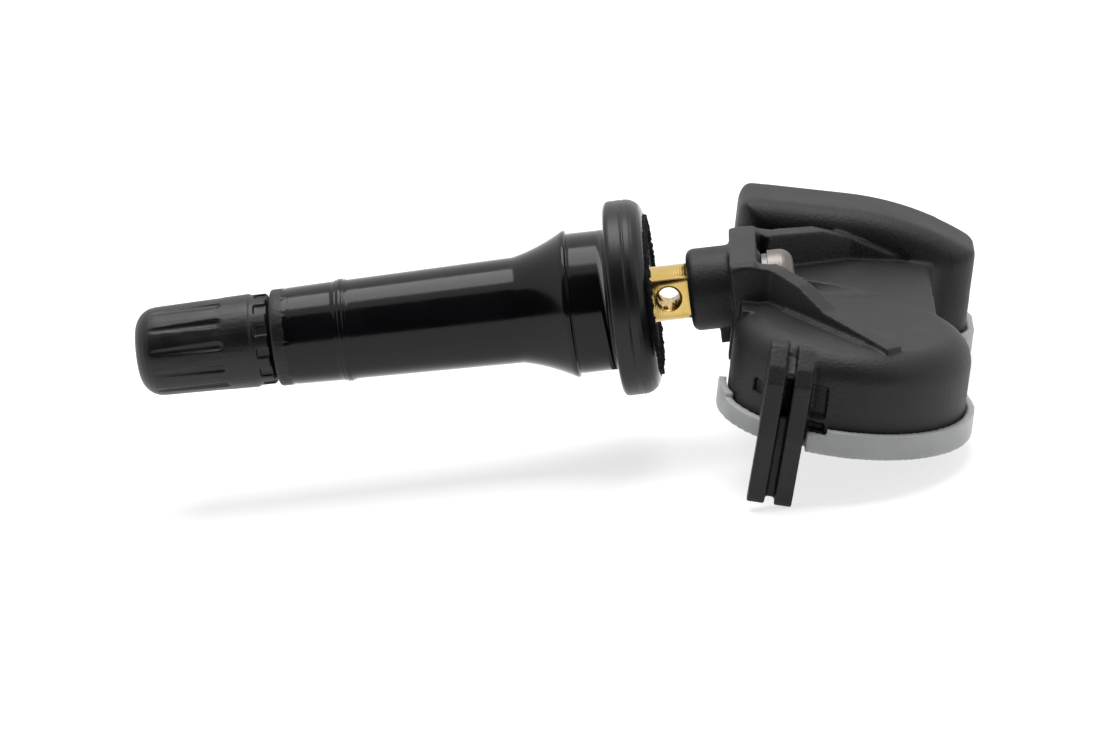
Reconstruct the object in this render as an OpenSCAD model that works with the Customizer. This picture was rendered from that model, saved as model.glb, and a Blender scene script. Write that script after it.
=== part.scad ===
// Snap-in tyre pressure sensor. A rubber-covered valve carries its core and screw-on cap
// at one end. At the other end one screw clamps the moulded sensor housing to the valve's
// brass stem. The x axis is the valve's axis, from the cap towards the sensor, and the
// origin is the centre of the flange face that seats on the wheel rim. Sizes are in mm.

/* [Valve cap] */
// Length of the cap's fluted body, closed end included
cap_body_len = 12.0; // [10.5:0.1:15]
// Length of the castellated skirt at the cap's open end
cap_skirt_len = 1.6; // [1.2:0.1:2.4]
// Diameter of the cap's body at its open side
cap_d = 9.4; // [9.2:0.1:11]
// Diameter of the cap's body at its closed end
cap_end_d = 8.9; // [8.2:0.1:10.5]
// Diameter of the castellated skirt
cap_skirt_d = 9.1; // [8.9:0.1:10.6]
// Rounding of the cap's closed end
cap_round = 2.2; // [0.5:0.1:2.6]
// Number of finger flutes round the cap
cap_flutes = 12; // [6:1:16]
// Width of one flute
flute_w = 1.2; // [0.6:0.1:1.6]
// Plain band between the flutes and the skirt
cap_band = 3.4; // [1.5:0.1:5]
// Thickness of the rubber seal inside the cap
cap_seal_t = 1.0; // [0.6:0.1:1.6]
// Gap between the cap's skirt and the rubber body
cap_gap = 0.3; // [0.1:0.05:1]

/* [Rubber body] */
// Length of the rubber body from the rim seat to its thin end
sleeve_len = 34.1; // [28:0.1:44]
// Diameter of the rubber body at its thin end
sleeve_tip_d = 9.7; // [9:0.1:11]
// Diameter of the rubber body where its flare begins
sleeve_root_d = 10.6; // [9.8:0.1:12]
// Distance of the fine moulded ring from the rim seat
ring_at = 27.0; // [14:0.5:32]
// Distance of the flare's start from the rim seat
flare_at = 9.6; // [7:0.1:12]
// Distance of the retaining ridge from the rim seat
ridge_at = 4.2; // [3:0.1:6]
// Diameter of the retaining ridge
ridge_d = 14.7; // [12:0.1:16]
// Diameter of the neck that sits in the rim's hole
neck_d = 14.0; // [11.6:0.1:14.6]
// Diameter of the flange
flange_d = 19.5; // [17:0.1:22]
// Thickness of the flange
flange_t = 3.9; // [3:0.1:5]

/* [Brass stem] */
// Diameter over the valve thread
thread_d = 7.7; // [7.5:0.05:8]
// Length of bare threaded stem beyond the rubber body
thread_len = 11.3; // [10.6:0.1:14]
// Diameter of the bar behind the flange
bar_d = 5.5; // [5.2:0.1:6.5]
// Thickness of the bar across its two flats
bar_flats = 4.0; // [3.8:0.1:5]
// Bare length of bar between the rubber's back face and the collar
bar_gap = 3.3; // [2.8:0.1:5]
// Diameter of the air hole across the bar
cross_d = 2.2; // [1.4:0.1:2.4]
// Diameter of the air bore along the stem
air_d = 2.0; // [1.2:0.1:2.2]

/* [Valve core] */
// Diameter over the thread of the core's head
core_head_d = 5.2; // [5:0.05:5.3]
// Diameter of the core's barrel
core_barrel_d = 3.7; // [3.5:0.05:3.8]
// Length of the core's barrel
core_barrel_len = 8.0; // [7:0.1:9]
// Diameter of the core's pin
core_pin_d = 1.1; // [0.9:0.05:1.2]
// How far the pin is pressed to let air through
core_travel = 1.5; // [0.8:0.1:1.8]

/* [Screw joint] */
// Diameter of the screw's head
screw_head_d = 6.2; // [5.6:0.1:6.4]
// Height of the screw's head
screw_head_h = 2.5; // [2:0.1:3]
// Diameter over the screw's thread
screw_d = 2.9; // [2.5:0.1:3]
// Outside diameter of the washer under the head
washer_d = 5.6; // [5:0.1:6.2]
// Thickness of the washer
washer_t = 0.6; // [0.4:0.1:1]

/* [Collar and bracket] */
// Diameter of the moulded collar that takes the bar's end
collar_d = 8.2; // [7.8:0.1:9]
// Length of the collar
collar_len = 4.4; // [3:0.1:5.4]
// Thickness of the bracket plate that the screw clamps
plate_t = 2.7; // [2:0.1:3.5]
// Width of the bracket across its two side walls
bracket_w = 14.0; // [12.6:0.1:15]
// Height of the bracket plate above the valve's axis
plate_top = 4.1; // [3.8:0.1:5.2]
// Thickness of the side walls and of the wings
wall_t = 2.0; // [1.4:0.1:2.4]
// Radius of the driver's trough behind the screw's head
trough_r = 2.75; // [2.4:0.05:3]

/* [Sensor housing] */
// Tilt of the housing's base against the valve's axis
housing_tilt = 13.4; // [8:0.2:18]
// Height of the valve's axis above the housing's lower edge, at the plate
axis_height = 6.9; // [6.4:0.1:8]
// Radius of the round lobe that holds the battery
lobe_r = 11.7; // [11.4:0.1:13]
// Height of the round lobe
lobe_h = 7.4; // [7:0.1:8.4]
// Rounding of the round lobe's top edge
lobe_round = 3.0; // [1:0.1:4]
// Length of the long back lobe that holds the aerial
back_len = 23.6; // [22:0.1:27]
// Width of the back lobe
back_w = 9.9; // [8.6:0.1:12]
// Height of the back lobe
back_h = 11.5; // [10.4:0.1:13]
// Wall thickness of the housing
shell_t = 1.0; // [0.8:0.05:1.1]
// Angle that the wings splay outwards
wing_angle = 47; // [40:1:50]
// Length of a wing, along its top
wing_len = 17.2; // [13:0.1:18]

/* [Leg] */
// Reach of the leg below the cover's underside
leg_drop = 6.0; // [4:0.1:8]
// Width of one of the leg's two ribs
leg_rib_w = 1.7; // [1.2:0.05:2.1]
// Width of the slot between the ribs
leg_slot_w = 0.95; // [0.8:0.05:1.4]

/* [Bottom cover] */
// Height of the cover, from its underside to its rim
cover_h = 2.5; // [2.4:0.1:3.4]
// Thickness of the cover's rim
rim_t = 0.8; // [0.6:0.1:1]
// Thickness of the cover's floor
cover_floor = 0.9; // [0.7:0.1:1.1]

/* [Inside] */
// Diameter of the battery cell
cell_d = 20.0; // [16:0.5:20]
// Thickness of the battery cell
cell_t = 3.2; // [2.5:0.1:3.2]
// Thickness of the circuit board
board_t = 1.0; // [0.8:0.1:1.2]

/* [Hidden] */
$fn = 72;

// A cut runs this far past the face it opens
past = 1;
// Radial running clearance of threads and sliding pins
run_gap = 0.05;
// Clearance round parts that drop into a pocket
drop_gap = 0.15;

// Stations along the valve's axis
sleeve_tip_x = -sleeve_len;
stem_tip_x = sleeve_tip_x - thread_len;
cap_open_x = sleeve_tip_x - cap_gap;
cap_body_x = cap_open_x - cap_skirt_len;
cap_end_x = cap_body_x - cap_body_len;
cap_floor_x = stem_tip_x - cap_seal_t;
flange_back_x = flange_t;
rough_ring_h = 0.4;
rubber_back_x = flange_back_x + rough_ring_h;
collar_x = rubber_back_x + bar_gap;
plate_x = collar_x + collar_len;
plate_back_x = plate_x + plate_t;
bar_end_x = plate_x + 0.7;
cross_x = (rubber_back_x + collar_x) / 2 - 0.4;
seat_boss_h = 0.4;
washer_x = plate_back_x + seat_boss_h;
head_x = washer_x + washer_t;
pivot_x = (plate_x + plate_back_x) / 2;

// The core hangs from its head, a little below the stem's mouth
core_head_x = stem_tip_x + 0.6;
core_head_len = 4.6;
barrel_x = core_head_x + core_head_len;
barrel_end_x = barrel_x + core_barrel_len;
pin_tip_x = stem_tip_x + 0.2;
core_washer_t = 0.6;
pin_button_h = 0.4;
pin_button_r = core_pin_d / 2 + 0.2;
tang_len = pin_tip_x + pin_button_h + core_travel + 0.1 - core_head_x;
cup_len = 1.4;
spring_wire = 0.28;
shoulder_x = barrel_x + 0.2;
shoulder_t = 0.4;
barrel_floor_t = 1.2;
barrel_bore_r = 1.3;
seal_lip = 0.3;
seal_end = 2.4;

// Plan of the housing: u runs along the base, v across it, w up from its lower edge
lobe_c = [10.6, -9.9];
back_u = -1.1;
back_v = 12.6;
back_room = back_len - 1.6;
web_u = [lobe_c.x - lobe_r + 0.5, 18.8];
web_h = lobe_h - 0.2;
back_corner = 3;
crown_u = 10;
crown_r = 30;
skirt_low = -0.9;
rim_gap = 0.15;
tab_step = 0.3;
wing_top = axis_height + 3.9;
cover_step = rim_t + rim_gap;
cover_low = -cover_h;
floor_top = cover_low + cover_floor;
port_at = [7, 7.5];
port_recess = 0.3;
port_hole_d = 1.4;
port_filter_d = 4;
board_low = floor_top;
board_top = board_low + board_t;
tab_t = 0.2;
cell_low = board_top + tab_t;
cell_top = cell_low + cell_t;
web_roof = 2.2;
rim_cut_v = [-8.9, back_v + back_w + 2];
leg_angle = 237.5;
leg_half = leg_rib_w + leg_slot_w / 2;
leg_u = 4.15;
leg_lean = 2.3;
wall_front = lobe_r - lobe_c.y;
leg_inner = wall_front - 1.1;
rim_low = -0.6;

// A turned part: its outline is a list of [radius, x]
module turned(outline) rotate([0, 90, 0]) rotate_extrude() polygon(outline);

// A rod along the valve's axis, from one station to another
module rod(r, from_x, to_x) translate([from_x, 0, 0]) rotate([0, 90, 0]) cylinder(r = r, h = to_x - from_x);

// Points of an arc about a centre
function arc(c, r, from, to, steps = 6) =
    [for (i = [0:steps]) let (a = from + (to - from) * i / steps) c + r * [cos(a), sin(a)]];

// Moves what is drawn in the housing's own frame to its place behind the valve
module in_housing() translate([pivot_x, 0, 0]) rotate([0, housing_tilt, 0])
    translate([0, 0, -axis_height]) children();

// A rectangle between two corners
module area(a, b) translate(a) square(b - a);

// A box between two corners
module block(a, b) translate(a) cube(b - a);

// A rectangle with four round corners
module round_area(a, b, r) {
    area(a + [r, 0], b - [r, 0]);
    area(a + [0, r], b - [0, r]);
    for (u = [a.x + r, b.x - r], v = [a.y + r, b.y - r]) translate([u, v]) circle(r);
}

// The stem's outside under the rubber, shared by the stem and the rubber moulded on it
buried = [
    [3.3, sleeve_tip_x], [3.3, -22], [3.0, -21.4], [3.0, -19.6], [3.3, -19], [3.3, -12],
    [3.0, -11.4], [3.0, -9.6], [3.3, -9], [3.3, -1.2], [5.2, -0.6], [5.2, 2],
    [bar_d / 2, 2.4]
];

module valve_cap() color("#1c1c1e") difference() {
    turned(concat(
        [[0, cap_end_x - 0.15], [1.6, cap_end_x - 0.1]],
        [for (p = arc([cap_end_d / 2 - cap_round, cap_end_x + cap_round], cap_round, -90, 0)) p],
        [
            [cap_d / 2, cap_body_x - 0.3], [cap_d / 2 - 0.2, cap_body_x],
            [cap_skirt_d / 2, cap_body_x], [cap_skirt_d / 2, cap_open_x - 0.2],
            [cap_skirt_d / 2 - 0.2, cap_open_x], [0, cap_open_x]
        ]
    ));
    rod(thread_d / 2 + run_gap, stem_tip_x, cap_open_x + past);
    rod(thread_d / 2 + run_gap + 0.1, cap_floor_x, stem_tip_x + 0.1);
    cap_flute_cuts();
    cap_skirt_cuts();
}

// Round-ended finger flutes that fade out over the cap's closed end
module cap_flute_cuts() for (i = [0:cap_flutes - 1]) rotate([360 / cap_flutes * (i + 0.5), 0, 0])
    translate([0, 0, cap_d / 2 + flute_w / 2 - 0.35]) {
        rod(flute_w / 2, cap_end_x - past, cap_body_x - cap_band);
        translate([cap_body_x - cap_band, 0, 0]) sphere(flute_w / 2);
    }

// Shallow rectangular notches between the skirt's pads
module cap_skirt_cuts() for (i = [0:cap_flutes - 1]) rotate([360 / cap_flutes * i, 0, 0])
    block([cap_body_x + 0.3, -0.6, cap_skirt_d / 2 - 0.3], [cap_open_x + past, 0.6, cap_d]);

module cap_seal() color("#2b2b2b") difference() {
    rod(thread_d / 2 + run_gap, cap_floor_x, stem_tip_x);
    rod(1.2, cap_floor_x - past, stem_tip_x + past);
}

module rubber_body() color("#19191b") turned(concat(
    [[sleeve_tip_d / 2 - 0.3, sleeve_tip_x], [sleeve_tip_d / 2, sleeve_tip_x + 0.25]],
    [[sleeve_tip_d / 2, sleeve_tip_x + 0.9], [sleeve_tip_d / 2 - 0.12, sleeve_tip_x + 1.2]],
    moulded_ring(),
    flare_curve(),
    [
        [ridge_d / 2, -ridge_at], [ridge_d / 2 - 0.1, -ridge_at + 0.2],
        [neck_d / 2, -ridge_at + 0.35], [neck_d / 2, 0], [flange_d / 2 - 0.6, 0]
    ],
    arc([flange_d / 2 - 0.6, 0.6], 0.6, -90, 0),
    arc([flange_d / 2 - 1.8, flange_back_x - 1.8], 1.8, 0, 90),
    [[8, flange_back_x], [8, rubber_back_x], [6.8, rubber_back_x], [6.4, flange_back_x]],
    [[bar_d / 2, flange_back_x]],
    [for (i = [len(buried) - 1:-1:0]) buried[i]]
));

// The fine ring that the mould leaves round the sleeve
function moulded_ring() = let (r = sleeve_r(-ring_at))
    [[r, -ring_at - 0.35], [r + 0.2, -ring_at - 0.2], [r + 0.2, -ring_at + 0.2], [r, -ring_at + 0.35]];

// Radius of the tapering sleeve at a station
function sleeve_r(x) = let (t = (x - sleeve_tip_x) / (sleeve_len - flare_at))
    (sleeve_tip_d * (1 - t) + sleeve_root_d * t) / 2;

// The hollow curve from the sleeve to the ridge
function flare_curve(steps = 8) = [for (i = [0:steps]) let (t = i / steps)
    [
        sleeve_root_d / 2 + (ridge_d - sleeve_root_d) / 2 * (0.55 * t + 0.45 * t * t),
        -flare_at + (flare_at - ridge_at - 0.2) * t
    ]];

module brass_stem() color("#c9a545") difference() {
    union() {
        turned(concat(
            [
                [0, stem_tip_x], [thread_d / 2 - 0.5, stem_tip_x], [thread_d / 2, stem_tip_x + 0.5],
                [thread_d / 2, sleeve_tip_x - 0.7], [3.45, sleeve_tip_x - 0.4], [3.45, sleeve_tip_x]
            ],
            buried,
            [[0, 2.4]]
        ));
        intersection() {
            rod(bar_d / 2, 2, bar_end_x);
            block([0, -bar_flats / 2, -bar_d], [bar_end_x + past, bar_flats / 2, bar_d]);
        }
        rod(bar_d / 2, 2, flange_back_x);
    }
    core_chamber();
    rod(air_d / 2, barrel_end_x, cross_x + cross_d / 4);
    cross_hole();
    rod(screw_d / 2 + run_gap, cross_x + cross_d / 2 + 1, bar_end_x + past);
}

// The bored seat of the valve core, open at the stem's mouth
module core_chamber() {
    seat_r = core_barrel_d / 2 + seal_lip + run_gap;
    mouth_r = max(core_head_d / 2 + run_gap, seat_r + 0.1);
    turned([
        [0, stem_tip_x - past], [mouth_r + past, stem_tip_x - past], [mouth_r, stem_tip_x],
        [mouth_r, barrel_x + 1], [seat_r, barrel_x + seal_end], [seat_r, barrel_end_x + 5],
        [0, barrel_end_x + 7]
    ]);
}

// The air hole across the bar, countersunk on both flats
module cross_hole() for (side = [-1, 1]) translate([cross_x, 0, 0]) rotate([90 * side, 0, 0]) {
    cylinder(d = cross_d, h = bar_d);
    translate([0, 0, bar_flats / 2 - 0.25]) cylinder(d1 = cross_d, d2 = cross_d + 1, h = 0.5);
}

// The core's threaded head: two tangs for the key, with the pin's button between them
module core_head() color("#d8b657") difference() {
    tang_w = 1.8;
    union() {
        rod(core_head_d / 2, core_head_x + tang_len, barrel_x);
        intersection() {
            rod(core_head_d / 2 - 0.5, core_head_x, core_head_x + tang_len + 0.4);
            block([core_head_x, -tang_w / 2, -core_head_d], [barrel_x, tang_w / 2, core_head_d]);
        }
    }
    tang_gap = pin_button_r + 0.1;
    block([core_head_x - past, -tang_w, -tang_gap], [core_head_x + tang_len, tang_w, tang_gap]);
    rod(core_pin_d / 2 + run_gap, core_head_x - past, barrel_x + past);
    for (side = [-1, 1]) translate([0, side * 1.7, 0]) rod(0.5, core_head_x, barrel_x + past);
}

module core_barrel() color("#cfae52") difference() {
    rod(core_barrel_d / 2, barrel_x, barrel_end_x);
    rod(barrel_bore_r, barrel_x - past, barrel_end_x - barrel_floor_t);
    rod(core_pin_d / 2 + 0.2, barrel_x, barrel_end_x + past);
}

// The cone-shaped ring that seals the barrel in its seat
module core_seal_ring() color("#c8c4b8") difference() {
    turned([
        [0, barrel_x + 0.9], [core_barrel_d / 2 + seal_lip + 0.1, barrel_x + 0.9],
        [core_barrel_d / 2 + seal_lip, barrel_x + seal_end], [0, barrel_x + seal_end]
    ]);
    rod(core_barrel_d / 2, barrel_x, barrel_end_x);
}

module core_pin() color("#d9d2c0") turned([
    [0, pin_tip_x], [pin_button_r, pin_tip_x], [pin_button_r, pin_tip_x + pin_button_h - 0.05],
    [core_pin_d / 2, pin_tip_x + pin_button_h], [core_pin_d / 2, shoulder_x],
    [barrel_bore_r - 0.15, shoulder_x], [barrel_bore_r - 0.15, shoulder_x + shoulder_t],
    [core_pin_d / 2, shoulder_x + shoulder_t], [core_pin_d / 2, barrel_end_x + core_washer_t],
    [1.8, barrel_end_x + core_washer_t], [1.8, barrel_end_x + core_washer_t + cup_len - 0.4],
    [1.4, barrel_end_x + core_washer_t + cup_len], [0, barrel_end_x + core_washer_t + cup_len]
]);

module core_washer() color("#202020") difference() {
    rod(1.7, barrel_end_x, barrel_end_x + core_washer_t);
    rod(core_pin_d / 2, barrel_end_x - past, barrel_end_x + core_washer_t + past);
}

module core_spring() color("#b9bcc0") coil(
    shoulder_x + shoulder_t, barrel_end_x - barrel_floor_t, barrel_bore_r - 0.1 - spring_wire / 2, 7
);

// A round wire wound along the valve's axis between two stations
module coil(from_x, to_x, r, turns) {
    steps_a_turn = 14;
    steps = steps_a_turn * turns;
    sides = 6;
    wire_r = spring_wire / 2;
    lead = (to_x - from_x - 2 * wire_r) / steps;
    points = [for (i = [0:steps], k = [0:sides - 1]) let (
        a = 360 * i / steps_a_turn,
        b = 360 * k / sides,
        reach = r + wire_r * cos(b)
    ) [from_x + wire_r + lead * i + wire_r * sin(b), reach * cos(a), reach * sin(a)]];
    skin = [for (i = [0:steps - 1], k = [0:sides - 1]) let (n = (k + 1) % sides)
        [i * sides + k, i * sides + n, (i + 1) * sides + n, (i + 1) * sides + k]];
    ends = [
        [for (k = [sides - 1:-1:0]) k],
        [for (k = [0:sides - 1]) steps * sides + k]
    ];
    polyhedron(points, concat(skin, ends));
}

module retaining_screw() color("#c4c7cb") difference() {
    turned(concat(
        [[0, cross_x + cross_d / 2 + 1.4], [screw_d / 2 - 0.4, cross_x + cross_d / 2 + 1.4]],
        [[screw_d / 2, cross_x + cross_d / 2 + 1.8], [screw_d / 2, head_x], [screw_head_d / 2, head_x]],
        [[screw_head_d / 2, head_x + screw_head_h - 1.4]],
        arc([screw_head_d / 2 - 1.4, head_x + screw_head_h - 1.4], 1.4, 15, 90),
        [[0, head_x + screw_head_h]]
    ));
    driver_recess();
}

// The six-lobed recess in the screw's head
module driver_recess() {
    depth = 1.4;
    middle_r = 1.05;
    notch_r = 0.34;
    translate([head_x + screw_head_h - depth, 0, 0]) rotate([0, 90, 0]) linear_extrude(depth + past) {
        circle(middle_r);
        for (i = [0:5]) rotate(60 * i) translate([middle_r, 0]) circle(notch_r);
    }
}

module screw_washer() color("#aeb1b5") difference() {
    rod(washer_d / 2, washer_x, head_x);
    rod(screw_d / 2 + drop_gap, washer_x - past, head_x + past);
}

// Outline of the housing seen from above, grown or shrunk all round
module plan(grow) {
    translate(lobe_c) circle(lobe_r + grow);
    round_area(
        [-grow, back_v - grow], [back_len + grow, back_v + back_w + grow], back_corner + grow
    );
    area([web_u[0] - grow, lobe_c.y], [web_u[1] + grow, back_v + back_corner]);
    web_fillet(grow);
}

// Hollow corner between the web's end and the back lobe
module web_fillet(grow) {
    r = 1.6 - grow / 2;
    corner = [web_u[1] + grow, back_v - grow];
    difference() {
        area(corner - [1, r], corner + [r, 1]);
        translate(corner + [r, -r]) circle(r);
    }
}

module sensor_housing() color("#2a2b2d") difference() {
    union() {
        in_housing() {
            round_lobe();
            back_lobe();
            web();
            wing(-1, wing_angle, [[0.45, 1.35], [0.22, 2.85]]);
            wing(1, wing_angle - 9, [[0.56, 2.1], [0.32, 3.15]]);
            skirt_tabs();
            leg();
        }
        collar();
        bracket_plate();
    }
    in_housing() {
        cavity();
        leg_pockets();
    }
    bar_pocket();
    rod(screw_d / 2 + drop_gap, plate_x - past, plate_back_x + seat_boss_h + past);
    driver_trough();
}

// The round lobe over the battery, with its broad top fillet
module round_lobe() translate(lobe_c) rotate_extrude() {
    area([0, skirt_low], [lobe_r - lobe_round, lobe_h]);
    area([0, skirt_low], [lobe_r, lobe_h - lobe_round]);
    translate([lobe_r - lobe_round, lobe_h - lobe_round]) circle(lobe_round);
}

// Section of the back lobe across its length, with rounded shoulders
module back_section() {
    r = 2.4;
    area([back_v, skirt_low], [back_v + back_w, back_h - r]);
    area([back_v + r, skirt_low], [back_v + back_w - r, back_h]);
    for (v = [back_v + r, back_v + back_w - r]) translate([v, back_h - r]) circle(r);
}

// The back lobe: level at first, then crowned down towards its far end. It overhangs the
// cover a little at its near end, where its top edge is well rounded
module back_lobe() intersection() {
    far = [back_len, back_v + back_w];
    end_round = 1.6;
    union() {
        translate([0, 0, skirt_low]) linear_extrude(back_h) round_area([0, back_v], far, back_corner);
        translate([0, 0, 0.4]) linear_extrude(back_h) round_area([back_u, back_v], far, back_corner);
    }
    translate([0, far.y + past, 0]) rotate([90, 0, 0]) linear_extrude(back_w + 2 * past)
        round_area([back_u, skirt_low - 2 * end_round], [back_len + 2 * end_round, back_h], end_round);
    union() {
        translate([back_u, 0, 0]) rotate([90, 0, 90]) linear_extrude(crown_u - back_u) back_section();
        translate([crown_u, 0, back_h - crown_r]) rotate(a = -120, v = [1, 1, 1])
            rotate_extrude(angle = 28, $fn = 180) translate([crown_r - back_h, 0]) rotate(90)
                mirror([0, 1]) back_section();
        block([crown_u - 1, back_v, skirt_low], [back_len, back_v + back_w, lobe_h]);
    }
}

// The saddle between the lobes, which carries the bracket
module web() translate([0, 0, skirt_low]) linear_extrude(web_h - skirt_low) {
    area([web_u[0], lobe_c.y], [web_u[1], back_v + back_corner]);
    web_fillet(0);
}

// One side wall of the bracket, and the wing that splays from it. Each knee is a share
// of the wing's length and a height above the round lobe
module wing(side, angle, knees) {
    start_u = 1.9;
    lap = 0.1;
    step = 0.05;
    foot_w = 0.45;
    foot_h = 0.13;
    foot_from = 2.5;
    outer = bracket_w / 2;
    wall = side > 0 ? [outer - wall_t, outer] : [-outer, wall_t - outer];
    block([-1.2, wall[0], 1], [start_u + lap, wall[1], wing_top]);
    translate([start_u, side * outer, 0]) rotate([0, 0, side * angle]) rotate([90, 0, 0])
        translate([0, 0, side > 0 ? 0 : -wall_t]) linear_extrude(wall_t) polygon(concat(
            [[-1.7, 1], [wing_len - 4, 1], [wing_len, lobe_h - 1.2], [wing_len, lobe_h - 0.4]],
            [for (knee = knees) [wing_len * knee[0], lobe_h + knee[1]]],
            [[lap, wing_top - step], [-1.7, wing_top - step]]
        ));
    translate([start_u, side * outer, 0]) rotate([0, 0, side * angle]) rotate([90, 0, 0])
        translate([0, 0, side > 0 ? -foot_w : -wall_t / 2]) linear_extrude(foot_w + wall_t / 2)
            area([foot_from, lobe_h - 1], [wing_len * 0.8, lobe_h + foot_h]);
}

// Tabs that reach down from the housing's wall to the cover's floor, set back a little from
// the wall's outer face. The one behind the leg is the widest, and closes the cover's slot
module skirt_tabs() {
    tab_angle = 12;
    leg_tab_angle = 27;
    wall_tab(leg_angle, leg_tab_angle);
    for (a = [205, 278, 308, 340]) wall_tab(a, tab_angle);
    far_v = back_v + back_w;
    for (u = [5, 15]) block([u, far_v - shell_t - past, floor_top], [u + 3, far_v - tab_step, 1]);
}

// One tab of the round lobe's wall, centred on an angle. The cavity trims its inner face
module wall_tab(at, span) translate(lobe_c) rotate([0, 0, at - span / 2])
    translate([0, 0, floor_top]) rotate_extrude(angle = span)
        area([lobe_r - shell_t - past, 0], [lobe_r - tab_step, 1 - floor_top]);

// The space for the battery, the board and the aerial, open below
module cavity() {
    low = floor_top - past;
    lobe_roof = cell_top + tab_t + 0.3;
    translate([lobe_c.x, lobe_c.y, low]) cylinder(r = lobe_r - shell_t, h = lobe_roof - low);
    intersection() {
        translate([lobe_c.x, lobe_c.y, low]) cylinder(r = lobe_r - lobe_round, h = lobe_h - shell_t - low);
        block([0, lobe_c.y - lobe_r, low], [40, -5.2, lobe_h]);
    }
    block([web_u[0] + shell_t, lobe_c.y, low], [web_u[1] - shell_t, back_v + back_corner, web_roof]);
    block(
        [shell_t, back_v + shell_t, low],
        [back_len - shell_t - 3.5, back_v + back_w - shell_t, back_h - 3]
    );
    block(
        [shell_t, back_v + shell_t, low],
        [back_room, back_v + back_w - shell_t, web_h]
    );
}

// The collar round the bar's end, with a rounded front edge and a small web below it
module collar() {
    r = collar_d / 2;
    edge_round = 0.8;
    lap_x = plate_x + 0.5;
    turned(concat(
        [[0, collar_x]],
        arc([r - edge_round, collar_x + edge_round], edge_round, -90, 0),
        [[r, lap_x], [0, lap_x]]
    ));
    block([collar_x + 2.6, -0.5, -r - 1.6], [lap_x, 0.5, -r + 0.5]);
}

// The plate that the screw clamps against the bar's end
module bracket_plate() {
    half = bracket_w / 2;
    translate([plate_x, 0, 0]) rotate([0, 90, 0]) linear_extrude(plate_t)
        round_area([-plate_top, -half], [3.4, half], 0.9);
    rod(washer_d / 2 + 0.3, plate_back_x - 0.5, plate_back_x + seat_boss_h);
}

// The pocket with two flats that keeps the bar from turning
module bar_pocket() intersection() {
    rod(bar_d / 2 + run_gap, collar_x - past, bar_end_x);
    block([collar_x - past, -bar_flats / 2 - run_gap, -bar_d], [bar_end_x, bar_flats / 2 + run_gap, bar_d]);
}

// The trough that lets a driver reach the screw along the valve's axis
module driver_trough() {
    pocket_r = screw_head_d / 2 + 0.3;
    rod(pocket_r, plate_back_x + seat_boss_h, head_x + screw_head_h + 0.8);
    rod(trough_r, head_x, head_x + 25);
}

// The locating leg in front of the round lobe: two ribs on a common web, closed at the top.
// Its outlines are drawn with the distance in front of the plan's origin, and the height
module leg() {
    low = cover_low - leg_drop;
    under = rim_low + 0.1;
    out = wall_front + 0.5;
    bury = wall_front - 4.6;
    web_front = out - 1.2;
    inner = [
        [leg_inner - 0.6, low + 0.5], [leg_inner, cover_low - 0.3], [leg_inner, under], [bury, under]
    ];
    rib = concat([
        [bury, lobe_h - 1.6], [wall_front - 2, lobe_h - 1.4], [wall_front - 0.3, lobe_h - 2.4],
        [out, lobe_h - 3.6], [out, cover_low + 1], [out - 0.7, low + 0.5], [out - 1, low],
        [leg_inner - 0.3, low]
    ], inner);
    back = concat([[bury, 0.5], [web_front, 0.5], [web_front, cover_low], [leg_inner, low + 0.6]], inner);
    crown = [
        [bury, lobe_h - 1.65], [wall_front - 2, lobe_h - 1.45], [wall_front - 0.35, lobe_h - 2.45],
        [wall_front - 0.35, lobe_h - 2.9], [bury, lobe_h - 4]
    ];
    translate([leg_u, 0, 1]) rotate([0, leg_lean, 0]) translate([0, 0, -1]) rotate([90, 0, -90]) {
        for (side = [-1, 1]) translate([0, 0, side * (leg_slot_w + leg_rib_w) / 2])
            linear_extrude(leg_rib_w, center = true) polygon(rib);
        linear_extrude(leg_slot_w + leg_rib_w, center = true) polygon(crown);
        linear_extrude(leg_slot_w + leg_rib_w, center = true) polygon(back);
    }
}

// Shallow pockets in the wall beside the leg, with a bar between them on its right
module leg_pockets() {
    wall_pocket(249, 8.5, [-0.5, 0.3]);
    wall_pocket(249, 8.5, [0.9, 4]);
    wall_pocket(215.5, 6, [1.4, 2.8]);
}

// One pocket of the round lobe's wall, from an angle on and between two heights
module wall_pocket(from, span, w) translate([lobe_c.x, lobe_c.y, w[0]]) rotate([0, 0, from])
    rotate_extrude(angle = span) area([lobe_r - shell_t / 2, 0], [lobe_r + 1, w[1] - w[0]]);

module bottom_cover() color("#b9bcbd") in_housing() difference() {
    translate([0, 0, cover_low]) linear_extrude(cover_h) cover_plan();
    difference() {
        translate([0, 0, floor_top]) linear_extrude(cover_h) plan(cover_step - rim_t);
        block(
            [web_u[0] - past, rim_cut_v[0], floor_top - past],
            [web_u[0] + rim_t, rim_cut_v[1], skirt_low]
        );
    }
    block([web_u[0] - past, rim_cut_v[0], skirt_low], [web_u[0] + 2, rim_cut_v[1], past]);
    block([web_u[0] - 5, lobe_c.y - lobe_r - 5, rim_low], [8.4, lobe_c.y - 4, past]);
    leg_gap();
    translate([port_at.x, port_at.y, cover_low - past]) cylinder(d = port_hole_d, h = cover_h);
    translate([port_at.x, port_at.y, floor_top - port_recess])
        cylinder(d = port_filter_d + 0.2, h = cover_h);
}

// The cover's outline: a step outside the housing's wall, but flush with it under the collar
module cover_plan() difference() {
    plan(cover_step);
    area([web_u[0] - 5, rim_cut_v[0]], [web_u[0], rim_cut_v[1]]);
}

// Slot in the cover's edge that the leg passes through
module leg_gap() block(
    [leg_u - leg_half - drop_gap, -wall_front - 5, cover_low - past],
    [leg_u + leg_half + drop_gap, drop_gap - leg_inner, past]
);

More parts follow.
